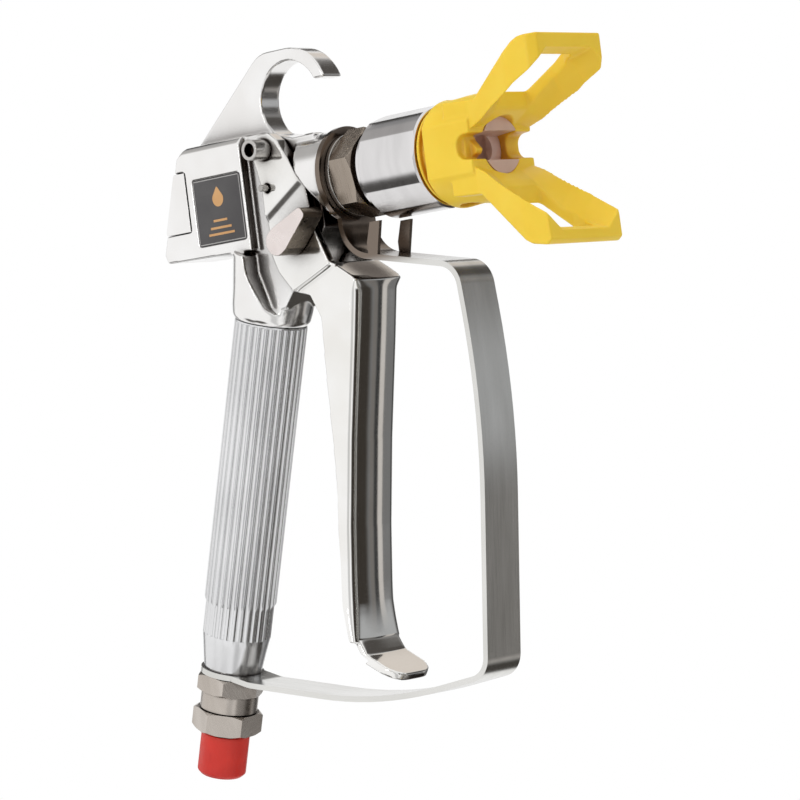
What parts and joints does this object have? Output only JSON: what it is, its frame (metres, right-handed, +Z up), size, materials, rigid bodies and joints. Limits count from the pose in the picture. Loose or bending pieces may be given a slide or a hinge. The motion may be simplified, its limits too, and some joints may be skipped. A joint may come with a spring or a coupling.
{
  "type": "airless paint spray gun",
  "caption": "Airless paint spray gun with a plated cast body and hook, long trigger, strap guard, fluted handle, yellow V-shaped tip guard and a red cap on the hose inlet.",
  "frame": {"origin": "centre of the spray-tip bore, on the barrel's axis", "axes": "+X forward along the barrel (the way it sprays), +Y to the gun's left, +Z up along the spray-tip bore"},
  "size_m": [0.2118, 0.0423, 0.257],
  "materials": {
    "plated_body": "polished nickel-chrome plating",
    "plated_trigger": "polished nickel-chrome plating",
    "nickel_fitting": "turned, satin nickel plating",
    "fluted_aluminium": "satin anodised",
    "strap_steel": "satin rolled strip",
    "cast_lever": "matte cast zinc",
    "guard_yellow": "moulded, slightly soft gloss",
    "cap_red": "soft moulded cap",
    "label_dark": "printed plate",
    "hard_steel": "ground steel",
    "carbide": "sintered carbide",
    "brass_ring": "turned brass",
    "white_polymer": "moulded seal",
    "black_rubber": "moulded rubber",
    "screen_mesh": "woven wire"
  },
  "bodies": {
    "gun": {"gun_body": "plated_body", "rear_cap": "plated_body", "label_plate": "label_dark", "trigger_pivot_screw": "hard_steel", "diffuser_hex": "nickel_fitting", "guard_nut": "nickel_fitting", "trigger_guard_strap": "strap_steel", "handle_tube": "fluted_aluminium", "swivel_body": "nickel_fitting", "trigger_pivot_nut": "hard_steel", "carbide_seat": "carbide", "seat_gasket": "white_polymer", "packing_seals": "white_polymer", "packing_nut": "brass_ring", "needle_spring": "hard_steel", "rear_cap_screws": "hard_steel", "barrel_washer": "hard_steel", "core_seal": "white_polymer", "handle_gasket": "white_polymer", "filter_screen": "screen_mesh", "filter_ends": "white_polymer", "filter_spring": "hard_steel"},
    "trigger": {"trigger": "plated_trigger", "trigger_bushes": "brass_ring", "lock_lever_pin": "hard_steel", "lock_detent_ball": "hard_steel"},
    "needle": {"needle_rod": "hard_steel", "needle_ball": "carbide", "actuating_pin": "hard_steel", "spring_seat": "brass_ring"},
    "lock": {"lock_lever": "cast_lever"},
    "hose_stem": {"swivel_stem": "nickel_fitting", "swivel_oring": "black_rubber", "swivel_snap_ring": "hard_steel"},
    "guard": {"guard_core": "nickel_fitting", "tip_guard": "guard_yellow"},
    "inlet_cap": {"protective_cap": "cap_red"}
  },
  "joints": [
    {"name": "trigger_pull", "type": "hinge", "parent": "gun", "child": "trigger", "pos_m": [-0.0817, 0, 0.0134], "axis": [0, 1, 0], "range_deg": [0, 9], "stiffness_Nm_per_rad": 1, "springref_deg": -11.46},
    {"name": "needle_slide", "type": "slide", "parent": "gun", "child": "needle", "axis": [-1, 0, 0], "range_m": [0, 0.00212], "deforming": ["needle_spring"]},
    {"name": "lock_lever_turn", "type": "hinge", "parent": "trigger", "child": "lock", "pos_m": [-0.0731, 0, -0.02], "axis": [0, 1, 0], "range_deg": [0, 90]},
    {"name": "hose_swivel", "type": "hinge", "parent": "gun", "child": "hose_stem", "pos_m": [-0.14709, 0, -0.18018], "axis": [-0.3173, 0, -0.9483], "continuous": true},
    {"name": "guard_turn", "type": "hinge", "parent": "gun", "child": "guard", "pos_m": [0, 0, 0], "axis": [1, 0, 0], "continuous": true},
    {"name": "cap_pull", "type": "slide", "parent": "hose_stem", "child": "inlet_cap", "axis": [-0.3173, 0, -0.9483], "range_m": [0, 0.018]}
  ],
  "couplings": [
    {"joint": "needle_slide", "follows": "trigger_pull", "m_per_rad": 0.0134}
  ]
}
